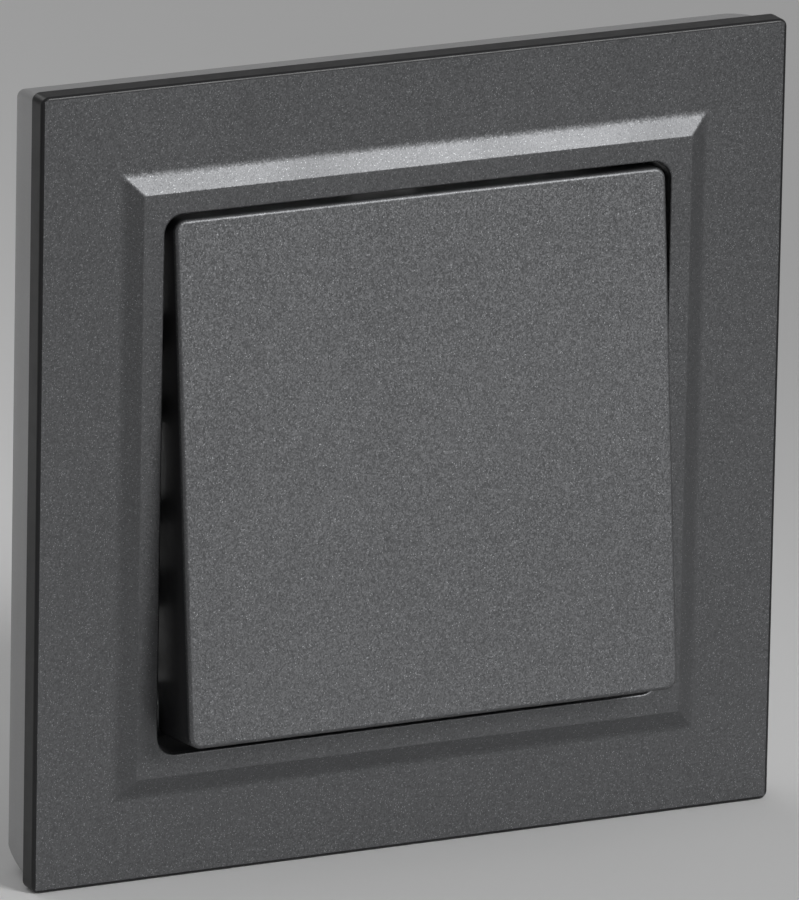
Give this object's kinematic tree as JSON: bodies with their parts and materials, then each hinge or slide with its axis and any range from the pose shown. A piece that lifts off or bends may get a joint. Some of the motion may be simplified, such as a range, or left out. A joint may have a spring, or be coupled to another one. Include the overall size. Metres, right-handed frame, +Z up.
{
  "type": "rocker wall switch",
  "caption": "single flush rocker wall switch in anthracite lacquer, with a square frame, steel support plate, spreading claws and see-saw contact mechanism",
  "frame": {"origin": "centre of the wall plane that the frame's rear rim and the support plate lie on", "axes": "+Z up on the wall; +Y into the wall, so the key faces -Y; +X to the right as seen from the front"},
  "size_m": [0.085, 0.0399, 0.085],
  "materials": {
    "graphite_lacquer": "semi-matt anthracite lacquer with fine silver flakes",
    "black_plastic": "glossy black moulding",
    "grey_plastic": "satin grey moulding",
    "white_plastic": "off-white insulating moulding",
    "zinc_steel": "zinc-plated sheet steel and screws",
    "spring_steel": "bright spring wire",
    "brass": "plain stamped brass",
    "silver": "silver contact rivet"
  },
  "bodies": {
    "body": {"frame_cover": "graphite_lacquer", "frame_base": "grey_plastic", "support_plate": "zinc_steel", "housing_cover": "white_plastic", "housing_base": "white_plastic", "housing_screw_upper": "zinc_steel", "housing_screw_lower": "zinc_steel", "common_contact": "brass", "fixed_contact": "brass", "fixed_contact_tip": "silver"},
    "key": {"rocker": "graphite_lacquer", "rocker_cradle": "white_plastic", "plunger_spring": "spring_steel"},
    "plunger_pin": {"plunger": "grey_plastic"},
    "bridge": {"moving_contact": "brass", "moving_contact_tip": "silver"},
    "cage_line": {"terminal_cage_line": "brass"},
    "cage_load": {"terminal_cage_load": "brass"},
    "screw_line": {"terminal_screw_line": "zinc_steel"},
    "screw_load": {"terminal_screw_load": "zinc_steel"},
    "washer_left": {"claw_washer_left": "zinc_steel"},
    "washer_right": {"claw_washer_right": "zinc_steel"},
    "drive_left": {"claw_screw_left": "zinc_steel"},
    "drive_right": {"claw_screw_right": "zinc_steel"},
    "claw_left": {"claw_left": "zinc_steel"},
    "claw_right": {"claw_right": "zinc_steel"}
  },
  "joints": [
    {"name": "key_rock", "type": "hinge", "parent": "body", "child": "key", "pos_m": [0, -0.0051, 0], "axis": [1, 0, 0], "range_deg": [0, 11.8]},
    {"name": "bridge_rock", "type": "hinge", "parent": "body", "child": "bridge", "pos_m": [0, 0.00653, 0], "axis": [1, 0, 0], "range_deg": [-16, 0]},
    {"name": "plunger_slide", "type": "slide", "parent": "key", "child": "plunger_pin", "axis": [0, -0.9947, 0.1028], "range_m": [0, 0.00025], "stiffness_N_per_m": 400, "springref_m": -0.002},
    {"name": "line_screw_turn", "type": "hinge", "parent": "body", "child": "screw_line", "pos_m": [0, 0.01528, 0.0144], "axis": [0, 0, -1], "range_deg": [0, 1440.1]},
    {"name": "load_screw_turn", "type": "hinge", "parent": "body", "child": "screw_load", "pos_m": [0, 0.01528, -0.0144], "axis": [0, 0, 1], "range_deg": [0, 1440.1]},
    {"name": "line_cage_rise", "type": "slide", "parent": "body", "child": "cage_line", "axis": [0, 0, 1], "range_m": [0, 0.002]},
    {"name": "load_cage_rise", "type": "slide", "parent": "body", "child": "cage_load", "axis": [0, 0, -1], "range_m": [0, 0.002]},
    {"name": "left_washer_slide", "type": "slide", "parent": "body", "child": "washer_left", "axis": [0, 1, 0], "range_m": [0, 0.00225]},
    {"name": "right_washer_slide", "type": "slide", "parent": "body", "child": "washer_right", "axis": [0, 1, 0], "range_m": [0, 0.00225]},
    {"name": "left_screw_turn", "type": "hinge", "parent": "washer_left", "child": "drive_left", "pos_m": [-0.0226, 0, 0], "axis": [0, 1, 0], "range_deg": [0, 1620.1]},
    {"name": "right_screw_turn", "type": "hinge", "parent": "washer_right", "child": "drive_right", "pos_m": [0.0226, 0, 0], "axis": [0, 1, 0], "range_deg": [0, 1620.1]},
    {"name": "left_claw_swing", "type": "hinge", "parent": "body", "child": "claw_left", "pos_m": [-0.0266, 0.003, 0], "axis": [0, 0, 1], "range_deg": [0, 27]},
    {"name": "right_claw_swing", "type": "hinge", "parent": "body", "child": "claw_right", "pos_m": [0.0266, 0.003, 0], "axis": [0, 0, -1], "range_deg": [0, 27]}
  ],
  "couplings": [
    {"joint": "bridge_rock", "follows": "key_rock", "ratio": -1.3559},
    {"joint": "line_screw_turn", "follows": "line_cage_rise", "rad_per_m": 12566},
    {"joint": "load_screw_turn", "follows": "load_cage_rise", "rad_per_m": 12566},
    {"joint": "left_screw_turn", "follows": "left_washer_slide", "rad_per_m": 12566},
    {"joint": "right_screw_turn", "follows": "right_washer_slide", "rad_per_m": 12566},
    {"joint": "left_claw_swing", "follows": "left_washer_slide", "rad_per_m": 209.44},
    {"joint": "right_claw_swing", "follows": "right_washer_slide", "rad_per_m": 209.44}
  ]
}
